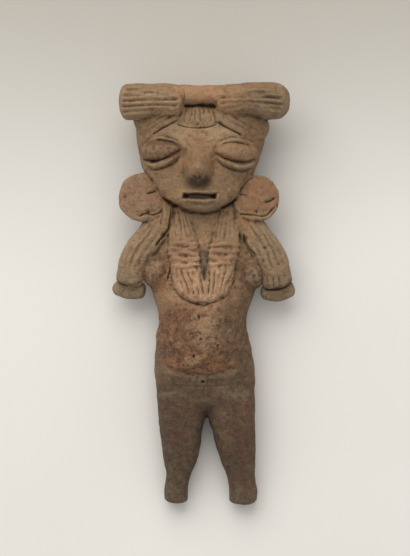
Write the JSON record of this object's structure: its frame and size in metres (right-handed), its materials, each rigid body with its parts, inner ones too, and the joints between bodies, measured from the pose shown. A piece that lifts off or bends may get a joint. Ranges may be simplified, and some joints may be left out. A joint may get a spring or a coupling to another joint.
{
  "type": "terracotta figurine",
  "caption": "Flat-backed, hand-modelled solid clay figure of a standing woman with a rolled headdress, ear discs and a bib of corded strands, lying on its back.",
  "frame": {"origin": "on the surface that the figure lies on, in the middle of its footprint", "axes": "+Y from the feet to the top of the headdress, +X to the right of someone looking at the figure's front, +Z out of its front"},
  "size_m": [0.0542, 0.125, 0.0233],
  "materials": {
    "terracotta": "unglazed low-fired red-brown clay, rubbed smooth on the high spots, with pale earth in the grooves and a darker grey patch over the legs"
  },
  "bodies": {
    "root": {"figurine": "terracotta"}
  },
  "joints": []
}
